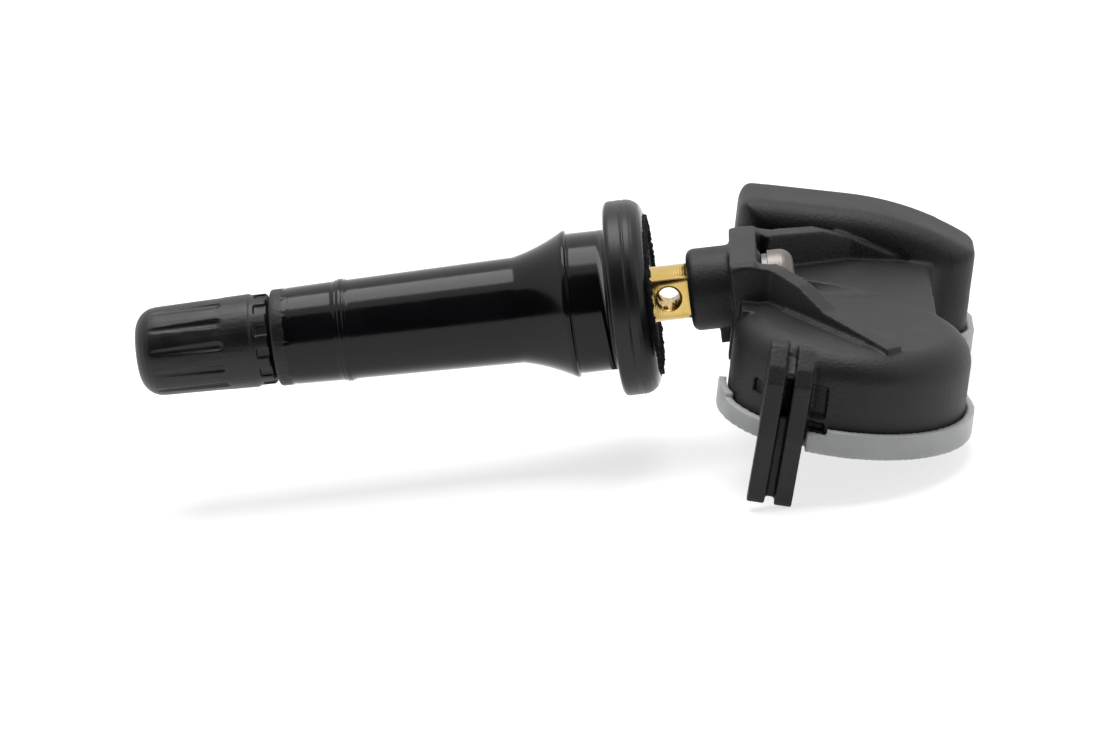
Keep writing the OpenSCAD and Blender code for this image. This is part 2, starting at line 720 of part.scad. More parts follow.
module port_filter() color("#e9e9e6") in_housing()
    translate([port_at.x, port_at.y, floor_top - port_recess]) cylinder(d = port_filter_d, h = port_recess);

// Outline of the circuit board, clear of the housing's wall and its tabs
module board_plan() {
    inset = shell_t + drop_gap;
    difference() {
        union() {
            translate(lobe_c) circle(lobe_r - inset);
            area([web_u[0] + inset, lobe_c.y], [web_u[1] - inset, back_v + back_corner]);
            round_area([inset, back_v + inset], [back_room - drop_gap, back_v + back_w - inset], 1.2);
        }
        translate(port_at) circle(0.8);
    }
}

module circuit_board() color("#2f6b3c") in_housing()
    translate([0, 0, board_low]) linear_extrude(board_t) board_plan();

module battery_cell() color("#c9ccd0") in_housing() translate([lobe_c.x, lobe_c.y, cell_low]) {
    cylinder(d = cell_d - 2.6, h = cell_t);
    translate([0, 0, 0.3]) cylinder(d = cell_d, h = cell_t - 0.3);
}

// A thin welded strip from the battery's upper face down to the board
module battery_tab_upper() color("#d3d0c4") in_housing() {
    edge_u = lobe_c.x - cell_d / 2 - 0.1;
    near = lobe_c.y - 1.5;
    far = lobe_c.y + 1.5;
    block([edge_u - tab_t, near, cell_top], [lobe_c.x - 3, far, cell_top + tab_t]);
    block([edge_u - tab_t, near, board_top], [edge_u, far, cell_top + tab_t]);
}

module battery_tab_lower() color("#d3d0c4") in_housing()
    block([lobe_c.x - 2, lobe_c.y - 7, board_top], [lobe_c.x + 2, lobe_c.y + 9, cell_low]);

module pressure_chip() color("#1b1b1b") in_housing() difference() {
    translate([port_at.x, port_at.y, board_top]) linear_extrude(1.9) square([7, 6.6], center = true);
    translate([port_at.x, port_at.y, board_top - past]) cylinder(d = 1.2, h = 2);
}

// The bent metal strip that serves as the radio aerial, standing on two feet
module aerial_strip() color("#c8b27a") in_housing() {
    v = back_v + back_w / 2;
    half = 1.6;
    strip_t = 0.4;
    feet_u = [3, 17];
    top = back_h - 3.6;
    for (u = feet_u) {
        block([u, v - half, board_top], [u + strip_t, v + half, top]);
        block([u - 0.8, v - half, board_top], [u + 1.2, v + half, board_top + 0.3]);
    }
    block([feet_u[0], v - half, top - strip_t], [feet_u[1] + strip_t, v + half, top]);
}

module wake_coil_core() color("#3a3a3c") in_housing() {
    v = back_v + back_w / 2;
    block([6, v - 0.8, board_top + 0.6], [14, v + 0.8, board_top + 2]);
    for (u = [6, 12.8]) block([u, v - 1.3, board_top], [u + 1.2, v + 1.3, board_top + 2.6]);
}

module wake_coil_winding() color("#b5683a") in_housing() difference() {
    v = back_v + back_w / 2;
    block([7.3, v - 1.2, board_top + 0.2], [12.7, v + 1.2, board_top + 2.4]);
    block([7, v - 0.8, board_top + 0.6], [13, v + 0.8, board_top + 2]);
}

module crystal() color("#c3c6ca") in_housing() block([13, 6, board_top], [16.2, 8.5, board_top + 0.8]);

module capacitors() color("#b79c74") in_housing() for (i = [0:3])
    translate([12 + 1.5 * i, 10, board_top]) cube([1, 0.5, 0.5]);

valve_cap();
cap_seal();
rubber_body();
brass_stem();
core_head();
core_barrel();
core_seal_ring();
core_pin();
core_washer();
core_spring();
retaining_screw();
screw_washer();
sensor_housing();
bottom_cover();
port_filter();
circuit_board();
battery_cell();
battery_tab_upper();
battery_tab_lower();
pressure_chip();
aerial_strip();
wake_coil_core();
wake_coil_winding();
crystal();
capacitors();
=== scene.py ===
"""Looks of a snap-in tyre pressure sensor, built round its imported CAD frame."""

import logging
import math
from collections.abc import Callable, Iterator
from contextlib import contextmanager
from dataclasses import dataclass, field
from enum import Enum

import bmesh
import bpy
from mathutils import Matrix, Vector, noise


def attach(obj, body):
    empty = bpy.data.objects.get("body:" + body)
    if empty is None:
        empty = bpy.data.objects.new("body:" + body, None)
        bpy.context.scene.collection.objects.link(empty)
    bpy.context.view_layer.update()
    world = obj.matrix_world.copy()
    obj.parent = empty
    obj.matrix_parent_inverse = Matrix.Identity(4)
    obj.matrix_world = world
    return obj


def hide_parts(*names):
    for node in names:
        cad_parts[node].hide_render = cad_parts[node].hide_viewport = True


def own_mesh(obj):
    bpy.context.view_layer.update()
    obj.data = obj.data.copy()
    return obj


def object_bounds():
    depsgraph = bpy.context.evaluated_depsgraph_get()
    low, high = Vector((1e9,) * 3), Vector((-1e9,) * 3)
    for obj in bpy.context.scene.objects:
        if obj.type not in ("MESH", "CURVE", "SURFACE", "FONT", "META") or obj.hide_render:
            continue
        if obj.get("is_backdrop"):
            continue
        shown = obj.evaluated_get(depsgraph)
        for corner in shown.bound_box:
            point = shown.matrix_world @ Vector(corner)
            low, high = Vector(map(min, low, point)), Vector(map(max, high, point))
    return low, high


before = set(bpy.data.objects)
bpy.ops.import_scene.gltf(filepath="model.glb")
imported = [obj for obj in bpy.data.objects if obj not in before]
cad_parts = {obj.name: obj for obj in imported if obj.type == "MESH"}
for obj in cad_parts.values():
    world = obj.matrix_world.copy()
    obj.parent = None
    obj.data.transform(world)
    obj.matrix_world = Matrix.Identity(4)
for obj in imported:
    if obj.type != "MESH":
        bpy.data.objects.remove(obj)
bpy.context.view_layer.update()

MM = 0.001
LOG = logging.getLogger("sensor")

# Dust: the spacing of its specks in millimetres, the share of them that shows, and their colour
DUST_SPACING = 5.0
DUST_SHARE = 0.3
DUST_COLOUR = "#8c8a84"
# Lines that a mould's parts leave: their width and their height in millimetres
WITNESS_WIDTH = 0.16
WITNESS_HEIGHT = 0.02
# The stretch of a noise value over which the gloss and the colour change
GLOSS_BAND = (0.35, 0.65)
COLOUR_BAND = (0.3, 0.7)
# Octaves of the broad cloud and of the fine grain
CLOUD_DETAIL = 4.0
GRAIN_DETAIL = 3.0
# A wave texture of scale 1 turns by this many radians in each unit of length
WAVE_RATE = 20
# Points of a mesh that lie closer than this, in millimetres, are one point
WELD = 0.0005

Outline = list[tuple[float, float]]


class Body(Enum):
    """The bodies of the frame that new pieces move with."""

    SENSOR = "sensor"
    CAP = "cap"


class RubberZone(Enum):
    """The zones of the rubber body, by the place of their material on it."""

    PLAIN = 0
    TORN = 1
    MATT = 2
    STREAKED = 3


def linear(hex_colour: str) -> tuple[float, float, float, float]:
    """Turns an sRGB hex colour into the linear colour that a shader takes.

    Args:
        hex_colour: Six hex digits, with or without a leading hash.

    Returns:
        Red, green, blue and an alpha of 1.
    """
    digits = hex_colour.lstrip("#")
    parts = [int(digits[i : i + 2], 16) / 255 for i in (0, 2, 4)]
    lit = [c / 12.92 if c <= 0.04045 else ((c + 0.055) / 1.055) ** 2.4 for c in parts]
    return (*lit, 1.0)


def add_node(
    tree: bpy.types.NodeTree,
    kind: str,
    settings: dict[str | int, object] | None = None,
    links: dict[str | int, bpy.types.NodeSocket] | None = None,
) -> bpy.types.Node:
    """Adds one node with its settings and links.

    Args:
        tree: The node tree.
        kind: Blender's type name of the node.
        settings: Values by input name or number, or by attribute name.
        links: Output sockets by the name or number of the input that they feed.

    Returns:
        The new node.
    """
    node = tree.nodes.new(kind)
    for key, value in (settings or {}).items():
        if isinstance(key, int) or key in node.inputs:
            node.inputs[key].default_value = value
        else:
            setattr(node, key, value)
    for key, output in (links or {}).items():
        tree.links.new(output, node.inputs[key])
    return node


def calculated(
    tree: bpy.types.NodeTree,
    operation: str,
    first: bpy.types.NodeSocket,
    second: bpy.types.NodeSocket | float,
) -> bpy.types.NodeSocket:
    """Adds one step of arithmetic.

    Args:
        tree: The node tree.
        operation: Blender's name of the step.
        first: The output that it starts from.
        second: The other output, or a fixed number.

    Returns:
        The output that carries the result.
    """
    if isinstance(second, float):
        step = add_node(tree, "ShaderNodeMath", {"operation": operation, 1: second}, {0: first})
    else:
        step = add_node(tree, "ShaderNodeMath", {"operation": operation}, {0: first, 1: second})
    return step.outputs[0]


@dataclass(frozen=True)
class Finish:
    """A moulded, turned or plated surface with its colour, gloss and fine texture.

    Sizes are in millimetres. The texture lies in the piece's own coordinates, so it
    keeps its size whatever the piece's shape. Each ring has the place of its centre and
    its radius, and the seam has its height and the station where it ends.
    """

    name: str
    slot: str
    colour: str
    shade: str
    roughness: float
    ior: float = 1.5
    metallic: float = 0.0
    grain: float = 0.3
    grain_depth: float = 0.004
    blotch: float = 3.0
    gloss_spread: float = 0.08
    lathe_pitch: float = 0.0
    lathe_depth: float = 0.0
    specular: float = 0.5
    subsurface: float = 0.0
    transmission: float = 0.0
    dust: float = 0.0
    edge: float = 0.0
    rings: tuple[tuple[float, float, float, float], ...] = ()
    seam: tuple[float, float] | None = None

    def material(self) -> bpy.types.Material:
        """Builds the material.

        Returns:
            The material, which is made once for each finish.
        """
        made = bpy.data.materials.get(self.name)
        if made:
            return made
        made = bpy.data.materials.new(self.name)
        made.use_nodes = True
        tree = made.node_tree
        shader = tree.nodes["Principled BSDF"]
        shader.inputs["Metallic"].default_value = self.metallic
        shader.inputs["IOR"].default_value = self.ior
        shader.inputs["Specular IOR Level"].default_value = self.specular
        place = add_node(tree, "ShaderNodeTexCoord").outputs["Object"]
        self._paint(tree, shader, place)
        self._texture(tree, shader, place)
        if self.subsurface:
            shader.inputs["Subsurface Weight"].default_value = self.subsurface
            shader.inputs["Subsurface Radius"].default_value = (1.0, 1.0, 0.96)
            shader.inputs["Subsurface Scale"].default_value = 1.2 * MM
        shader.inputs["Transmission Weight"].default_value = self.transmission
        return made

    def _paint(
        self, tree: bpy.types.NodeTree, shader: bpy.types.Node, place: bpy.types.NodeSocket
    ) -> None:
        """Gives the shader its colour and the spread of its gloss.

        Args:
            tree: The material's node tree.
            shader: The shader node.
            place: The coordinates of the surface.
        """
        cloud = self._noise(tree, place, self.blotch, CLOUD_DETAIL)
        half = self.gloss_spread / 2
        gloss = self._stretched(tree, cloud, GLOSS_BAND, (self.roughness - half, self.roughness + half))
        tree.links.new(gloss, shader.inputs["Roughness"])
        fade = self._stretched(tree, cloud, COLOUR_BAND, (0.0, 1.0))
        paint = {"data_type": "RGBA", 6: linear(self.colour), 7: linear(self.shade)}
        colour = add_node(tree, "ShaderNodeMix", paint, {0: fade}).outputs[2]
        if self.dust:
            colour = self._dusted(tree, colour, place)
        tree.links.new(colour, shader.inputs["Base Color"])

    def _noise(
        self, tree: bpy.types.NodeTree, place: bpy.types.NodeSocket, size: float, detail: float
    ) -> bpy.types.NodeSocket:
        """Adds a cloudy pattern.

        Args:
            tree: The material's node tree.
            place: The coordinates of the surface.
            size: Size of its clouds, in millimetres.
            detail: Number of its octaves.

        Returns:
            The output that carries the pattern.
        """
        settings = {"Scale": 1 / (size * MM), "Detail": detail}
        return add_node(tree, "ShaderNodeTexNoise", settings, {"Vector": place}).outputs["Fac"]

    def _stretched(
        self,
        tree: bpy.types.NodeTree,
        value: bpy.types.NodeSocket,
        band: tuple[float, float],
        ends: tuple[float, float],
    ) -> bpy.types.NodeSocket:
        """Stretches a band of a value over another range.

        Args:
            tree: The material's node tree.
            value: The value.
            band: The part of its range that counts.
            ends: What the band's two ends become.

        Returns:
            The output that carries the result.
        """
        settings = {"From Min": band[0], "From Max": band[1], "To Min": ends[0], "To Max": ends[1]}
        return add_node(tree, "ShaderNodeMapRange", settings, {"Value": value}).outputs["Result"]

    def _dusted(
        self, tree: bpy.types.NodeTree, colour: bpy.types.NodeSocket, place: bpy.types.NodeSocket
    ) -> bpy.types.NodeSocket:
        """Lays a few pale specks over the colour.

        Args:
            tree: The material's node tree.
            colour: The colour under the dust.
            place: The coordinates of the surface.

        Returns:
            The output that carries the dusty colour.
        """
        settings = {"Scale": 1 / (DUST_SPACING * MM)}
        specks = add_node(tree, "ShaderNodeTexVoronoi", settings, {"Vector": place})
        near = calculated(tree, "LESS_THAN", specks.outputs["Distance"], self.dust)
        few = calculated(tree, "LESS_THAN", specks.outputs["Color"], DUST_SHARE)
        shown = calculated(tree, "MULTIPLY", near, few)
        pale = {"data_type": "RGBA", 7: linear(DUST_COLOUR)}
        return add_node(tree, "ShaderNodeMix", pale, {0: shown, 6: colour}).outputs[2]

    def _texture(
        self, tree: bpy.types.NodeTree, shader: bpy.types.Node, place: bpy.types.NodeSocket
    ) -> None:
        """Gives the shader its grain, its turning marks, its softened edges and its mould's lines.

        Args:
            tree: The material's node tree.
            shader: The shader node.
            place: The coordinates of the surface.
        """
        grain = self._noise(tree, place, self.grain, GRAIN_DETAIL)
        bump = add_node(tree, "ShaderNodeBump", {"Distance": self.grain_depth * MM}, {"Height": grain})
        if self.edge:
            soft = add_node(tree, "ShaderNodeBevel", {"samples": 4, "Radius": self.edge * MM})
            tree.links.new(soft.outputs["Normal"], bump.inputs["Normal"])
        if self.lathe_pitch:
            settings = {
                "wave_type": "BANDS",
                "bands_direction": "X",
                "Scale": math.tau / (WAVE_RATE * self.lathe_pitch * MM),
                "Distortion": 1.5,
                "Detail": 2.0,
            }
            marks = add_node(tree, "ShaderNodeTexWave", settings, {"Vector": place})
            bump = self._raised(tree, marks.outputs["Fac"], self.lathe_depth, bump)
        if self.rings or self.seam:
            bump = self._raised(tree, self._witness(tree, place), WITNESS_HEIGHT, bump)
        tree.links.new(bump.outputs["Normal"], shader.inputs["Normal"])

    def _raised(
        self, tree: bpy.types.NodeTree, height: bpy.types.NodeSocket, depth: float, under: bpy.types.Node
    ) -> bpy.types.Node:
        """Lays one relief over another.

        Args:
            tree: The material's node tree.
            height: The new relief, from 0 to 1.
            depth: What 1 stands for, in millimetres.
            under: The bump node that it lies on.

        Returns:
            The bump node that has both.
        """
        links = {"Height": height, "Normal": under.outputs["Normal"]}
        return add_node(tree, "ShaderNodeBump", {"Distance": depth * MM}, links)

    def _witness(
        self, tree: bpy.types.NodeTree, place: bpy.types.NodeSocket
    ) -> bpy.types.NodeSocket:
        """Draws the fine lines that the mould's parts leave: ejector rings and a seam.

        Args:
            tree: The material's node tree.
            place: The coordinates of the surface.

        Returns:
            The output that is 1 on the lines.
        """
        heights: list[bpy.types.NodeSocket] = []
        for x, y, z, radius in self.rings:
            centre = {"operation": "DISTANCE", 1: (x * MM, y * MM, z * MM)}
            away = add_node(tree, "ShaderNodeVectorMath", centre, {0: place})
            heights.append(self._line(tree, away.outputs["Value"], radius))
        if self.seam:
            height, end = self.seam
            parts = add_node(tree, "ShaderNodeSeparateXYZ", links={0: place})
            line = self._line(tree, parts.outputs["Z"], height)
            near = calculated(tree, "LESS_THAN", parts.outputs["X"], end * MM)
            heights.append(calculated(tree, "MULTIPLY", line, near))
        total = heights[0]
        for height_output in heights[1:]:
            total = calculated(tree, "ADD", total, height_output)
        return total

    def _line(
        self, tree: bpy.types.NodeTree, value: bpy.types.NodeSocket, at: float
    ) -> bpy.types.NodeSocket:
        """Gives 1 where a value is close to a length, and 0 elsewhere.

        Args:
            tree: The material's node tree.
            value: The value, in metres.
            at: The length, in millimetres.

        Returns:
            The output that carries the line.
        """
        settings = {"operation": "COMPARE", 1: at * MM, 2: WITNESS_WIDTH * MM / 2}
        return add_node(tree, "ShaderNodeMath", settings, {0: value}).outputs[0]


# Moulded EPDM rubber: a deep black with a soft sheen that draws a lamp out into a long strip
RUBBER = Finish(
    "epdm_rubber_moulded", "body_rubber", "#131315", "#18181b", 0.15, 1.52,
    grain=0.6, grain_depth=0.003, gloss_spread=0.05, dust=0.03, specular=0.26,
)
# The same rubber where the mould's parts were turned: fine rings that break the gloss up
RUBBER_STREAKED = Finish(
    "epdm_rubber_ring_marked", "body_rubber", "#17171a", "#1d1d20", 0.34, 1.52,
    grain=0.4, lathe_pitch=0.45, lathe_depth=0.012, dust=0.03, specular=0.34,
)
# The same rubber at the sleeve's lip, where the mould was rougher: matt and a little uneven
RUBBER_MATT = Finish(
    "epdm_rubber_matt_lip", "body_rubber", "#18181a", "#202023", 0.5, 1.52,
    grain=0.4, grain_depth=0.05, specular=0.4,
)
# The torn edge of the same rubber where it was trimmed: matt and pitted
RUBBER_TORN = Finish(
    "epdm_rubber_torn", "body_rubber", "#0d0d0f", "#1b1b1d", 0.85, 1.52,
    grain=0.35, grain_depth=0.12, specular=0.3,
)
# Moulded nylon of the cap: satin, a little greyer than the rubber
NYLON = Finish(
    "nylon_moulded_satin", "cap_plastic", "#17171a", "#1e1e21", 0.42, 1.53,
    grain=0.35, grain_depth=0.022, dust=0.02, specular=0.38,
)
# Glass-filled nylon from a spark-eroded mould: matt, with a fine even grain, the round marks of
# two ejector pins, and the seam of the mould's halves along the collar
GLASS_NYLON = Finish(
    "glass_filled_nylon_textured", "housing_plastic", "#141416", "#1a1a1c", 0.54, 1.53,
    grain=0.28, grain_depth=0.045, gloss_spread=0.05, specular=0.4, dust=0.02,
    rings=((29.6, -13.1, -3.35, 2.0), (27.4, 9.2, -3.0, 1.5)), seam=(-0.1, 12.2),
)
# Unfilled natural polyester: milky, because it lets some light in and scatters it
MILKY = Finish(
    "natural_polyester_moulded", "cover_plastic", "#e8ebe8", "#dfe2df", 0.34, 1.55,
    grain=1.2, grain_depth=0.006, subsurface=0.5, transmission=0.18, edge=0.12,
)
# Turned brass: warm yellow with fine tool marks round the axis
BRASS = Finish(
    "brass_turned", "stem_brass", "#dbbe78", "#d0b066", 0.26,
    metallic=1.0, grain=0.6, grain_depth=0.003, lathe_pitch=0.25, lathe_depth=0.003, edge=0.08,
)
# Plated screw steel: bright, slightly soft from barrel plating
PLATED = Finish(
    "steel_zinc_plated", "screw_plating", "#7b7673", "#6f6a68", 0.46,
    metallic=1.0, grain=0.25, grain_depth=0.006, edge=0.1,
)
# Drawn spring wire: grey and smooth
SPRING = Finish(
    "spring_steel_drawn", "spring_steel", "#a9abae", "#9a9c9f", 0.3,
    metallic=1.0, grain=0.2, grain_depth=0.002,
)
# Turned fluoropolymer: waxy white
FLUORO = Finish(
    "ptfe_turned", "seal_plastic", "#d8d4c8", "#cfcabd", 0.5, 1.38,
    grain=0.3, grain_depth=0.004, subsurface=0.3,
)
# Moulded nitrile of the small seals: soft black
NITRILE = Finish(
    "nitrile_moulded", "seal_rubber", "#1a1a1b", "#222223", 0.55, 1.52,
    grain=0.2, grain_depth=0.006,
)
# Glass-epoxy board under green solder resist: glossy and a little uneven from the glass below
BOARD = Finish(
    "fr4_solder_resist", "board_laminate", "#1f5a34", "#2b6b40", 0.35, 1.5,
    grain=0.5, grain_depth=0.01,
)
# Nickel-plated deep-drawn can of the cell: bright and faintly wavy
CELL_CAN = Finish(
    "steel_can_drawn", "cell_steel", "#c9cbce", "#bcbec1", 0.26,
    metallic=1.0, grain=0.8, grain_depth=0.003, edge=0.2,
)
# Rolled nickel strip: pale, slightly yellow
STRIP = Finish(
    "nickel_strip_rolled", "tab_nickel", "#cfc9b8", "#c3bdac", 0.3,
    metallic=1.0, grain=0.3, grain_depth=0.002,
)
# Transfer-moulded epoxy of the chip: matt charcoal
EPOXY = Finish(
    "epoxy_transfer_moulded", "chip_resin", "#222224", "#2a2a2c", 0.7, 1.55,
    grain=0.15, grain_depth=0.006, edge=0.1,
)
# Rolled phosphor bronze of the aerial: warm, springy sheet
BRONZE = Finish(
    "phosphor_bronze_rolled", "aerial_brass", "#cfa878", "#c1996a", 0.28,
    metallic=1.0, grain=0.5, grain_depth=0.002,
)
# Pressed and sintered ferrite: dark, dense and matt
FERRITE = Finish(
    "ferrite_sintered", "ferrite", "#2c2c2f", "#37373a", 0.65, 1.6,
    grain=0.2, grain_depth=0.01, edge=0.08,
)
# Enamelled copper wire laid in turns: bright brown with a ridge for each turn
COPPER = Finish(
    "copper_enamelled_wound", "copper_wire", "#b5622f", "#a65524", 0.25,
    metallic=1.0, lathe_pitch=0.18, lathe_depth=0.03,
)
# Barium titanate body of the small capacitors: fired tan ceramic
CERAMIC = Finish(
    "ceramic_fired", "capacitor_ceramic", "#b08b62", "#a58058", 0.5, 1.6,
    grain=0.15, grain_depth=0.004, edge=0.06,
)
# Expanded fluoropolymer felt over the air port: white, with a fine rough grain
FELT = Finish(
    "ptfe_felt_expanded", "filter_membrane", "#e6e6e2", "#dadad6", 0.8, 1.38,
    grain=0.12, grain_depth=0.03, subsurface=0.2,
)


def dress(node: str, finish: Finish) -> None:
    """Gives a CAD node its finish.

    Args:
        node: Name of the CAD node.
        finish: The finish for all of its surfaces.
    """
    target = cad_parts[node]
    target.data.materials.clear()
    target.data.materials.append(finish.material())
    LOG.info("dressed %s in %s", node, finish.name)


def dress_all(finishes: dict[str, Finish]) -> None:
    """Gives several CAD nodes their finishes.

    Args:
        finishes: The finish of each node, by the node's name.
    """
    for node, finish in finishes.items():
        dress(node, finish)


def show(
    mesh: bpy.types.Mesh,
    name: str,
    finish: Finish,
    body: Body,
    *nodes: str,
    crease: float | None = None,
) -> bpy.types.Object:
    """Puts a finished mesh into the scene in place of CAD nodes.

    Args:
        mesh: The mesh, in metres in the shared frame.
        name: Name of the new piece.
        finish: Its finish.
        body: The body that it moves with.
        nodes: The CAD nodes that it stands for.
        crease: Angle in degrees from which an edge stays sharp, or None where none does.

    Returns:
        The new piece.
    """
    piece = bpy.data.objects.new(name, mesh)
    bpy.context.scene.collection.objects.link(piece)
    mesh.materials.clear()
    mesh.materials.append(finish.material())
    mesh.shade_smooth()
    if crease is not None:
        mesh.set_sharp_from_angle(angle=math.radians(crease))
    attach(piece, body.value)
    if nodes:
        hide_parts(*nodes)
    LOG.info("built %s on %s with %d faces", name, body.value, len(mesh.polygons))
    return piece


@dataclass(frozen=True)
class SoftRegion:
    """A box of a moulding where the mould's edges are rounder than elsewhere, in millimetres."""

    low: tuple[float, float, float]
    high: tuple[float, float, float]
    rounds: int

    def soften(self, work: bmesh.types.BMesh) -> None:
        """Rounds the mesh inside the box.

        Args:
            work: The mesh, in metres.
        """
        inside = [
            vert
            for vert in work.verts
            if all(low * MM < c < high * MM for low, c, high in zip(self.low, vert.co, self.high))
        ]
        for _ in range(self.rounds):
            bmesh.ops.smooth_vert(
                work, verts=inside, factor=0.5, use_axis_x=True, use_axis_y=True, use_axis_z=True
            )


@dataclass(frozen=True)
class Prism:
    """A straight rib that is added to a moulding before its edges are softened.

    Its outline is drawn in a plane of its own, in millimetres, and drawn out from near to
    far. The place function turns a point of it into one of the shared frame.
    """

    outline: tuple[tuple[float, float], ...]
    near: float
    far: float
    place: Callable[[float, float, float], Vector]

    def add_to(self, work: bmesh.types.BMesh) -> None:
        """Adds the rib as a closed shape.

        Args:
            work: The mesh that it joins, in metres.
        """
        rings = [
            [work.verts.new(self.place(a, b, side) * MM) for a, b in self.outline]
            for side in (self.near, self.far)
        ]
        count = len(self.outline)
        faces = [work.faces.new(rings[0]), work.faces.new(rings[1][::-1])]
        for i in range(count):
            j = (i + 1) % count
            faces.append(work.faces.new((rings[0][i], rings[1][i], rings[1][j], rings[0][j])))
        bmesh.ops.recalc_face_normals(work, faces=faces)


@contextmanager
def opened(mesh: bpy.types.Mesh) -> Iterator[bmesh.types.BMesh]:
    """Opens a mesh for changes to its points and faces, and writes them back.

    Args:
        mesh: The mesh.

    Yields:
        The open mesh, in metres.
    """
    work = bmesh.new()
    work.from_mesh(mesh)
    yield work
    work.to_mesh(mesh)
    work.free()


def applied(mesh: bpy.types.Mesh, *steps: tuple[str, dict[str, object]]) -> bpy.types.Mesh:
    """Puts a mesh through modifiers.

    Args:
        mesh: The mesh, which is used up.
        steps: Each modifier's type and settings.

    Returns:
        The changed mesh.
    """
    helper = bpy.data.objects.new("work", mesh)
    bpy.context.scene.collection.objects.link(helper)
    for kind, settings in steps:
        modifier = helper.modifiers.new(kind, kind)
        for key, value in settings.items():
            setattr(modifier, key, value)
    shown = helper.evaluated_get(bpy.context.evaluated_depsgraph_get())
    made = bpy.data.meshes.new_from_object(shown)
    bpy.data.objects.remove(helper)
    bpy.data.meshes.remove(mesh)
    return made


def moulded_mesh(
    node: str,
    voxel: float,
    rounds: int,
    keep: float,
    ribs: tuple[Prism, ...] = (),
    regions: tuple[SoftRegion, ...] = (),
) -> bpy.types.Mesh:
    """Copies a CAD node and softens its edges and inner corners, as a mould does.

    Args:
        node: Name of the CAD node.
        voxel: Size of the grid that the copy is rebuilt on, in millimetres.
        rounds: How many times the surface is smoothed.
        keep: Share of the triangles to keep.
        ribs: Ribs to add first.
        regions: Boxes to round further.

    Returns:
        The softened mesh.
    """
    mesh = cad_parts[node].data.copy()
    with opened(mesh) as work:
        bmesh.ops.remove_doubles(work, verts=work.verts, dist=WELD * MM)
        for rib in ribs:
            rib.add_to(work)
    mesh = applied(
        mesh,
        ("REMESH", {"mode": "VOXEL", "voxel_size": voxel * MM}),
        ("SMOOTH", {"factor": 0.5, "iterations": rounds}),
    )
    with opened(mesh) as work:
        for region in regions:
            region.soften(work)
    return applied(mesh, ("DECIMATE", {"ratio": keep}))


def lathe_mesh(name: str, sections: list[Outline]) -> bpy.types.Mesh:
    """Joins sections that stand evenly round the valve's axis into one closed ring.

    Args:
        name: Name of the mesh.
        sections: Each section's points of station and radius, in millimetres, in order round it.

    Returns:
        The closed mesh, in metres.
    """
    steps, count = len(sections), len(sections[0])
    points: list[tuple[float, float, float]] = []
    for step, section in enumerate(sections):
        angle = math.tau * step / steps
        points += [(x * MM, r * math.cos(angle) * MM, r * math.sin(angle) * MM) for x, r in section]
    faces: list[tuple[int, int, int, int]] = []
    for step in range(steps):
        here, after = step * count, (step + 1) % steps * count
        for i in range(count):
            j = (i + 1) % count
            faces.append((here + i, here + j, after + j, after + i))
    mesh = bpy.data.meshes.new(name)
    mesh.from_pydata(points, [], faces)
    with opened(mesh) as work:
        bmesh.ops.recalc_face_normals(work, faces=work.faces)
    return mesh


def refined(outline: Outline, longest: float) -> Outline:
    """Splits the long edges of an outline, so that no face is much longer than wide.

    Args:
        outline: Points of station and radius, in millimetres.
        longest: Longest edge that stays whole.

    Returns:
        The outline with its extra points.
    """
    made: Outline = []
    for start, end in zip(outline, outline[1:] + outline[:1]):
        parts = max(1, math.ceil(math.dist(start, end) / longest))
        along, out = end[0] - start[0], end[1] - start[1]
        made += [(start[0] + along * k / parts, start[1] + out * k / parts) for k in range(parts)]
    return made


def arc(centre: tuple[float, float], radius: float, start: float, end: float, steps: int = 6) -> Outline:
    """Points of an arc in the plane of station and radius.

    Args:
        centre: Station and radius of the arc's centre.
        radius: The arc's own radius.
        start: First angle in degrees, from the direction of growing station.
        end: Last angle in degrees.
        steps: Number of steps.

    Returns:
        The points from start to end.
    """
    angles = [math.radians(start + (end - start) * i / steps) for i in range(steps + 1)]
    return [(centre[0] + radius * math.cos(a), centre[1] + radius * math.sin(a)) for a in angles]


@dataclass
class ValveCap:
    """The fluted screw cap with its inner seal. Sizes in mm."""

    voxel: float = 0.1
    rounds: int = 3
    keep: float = 0.5

    def build(self) -> None:
        """Builds the cap with soft flutes, and dresses its seal."""
        mesh = moulded_mesh("valve_cap", self.voxel, self.rounds, self.keep)
        show(mesh, "cap_moulded", NYLON, Body.CAP, "valve_cap")
        dress("cap_seal", NITRILE)


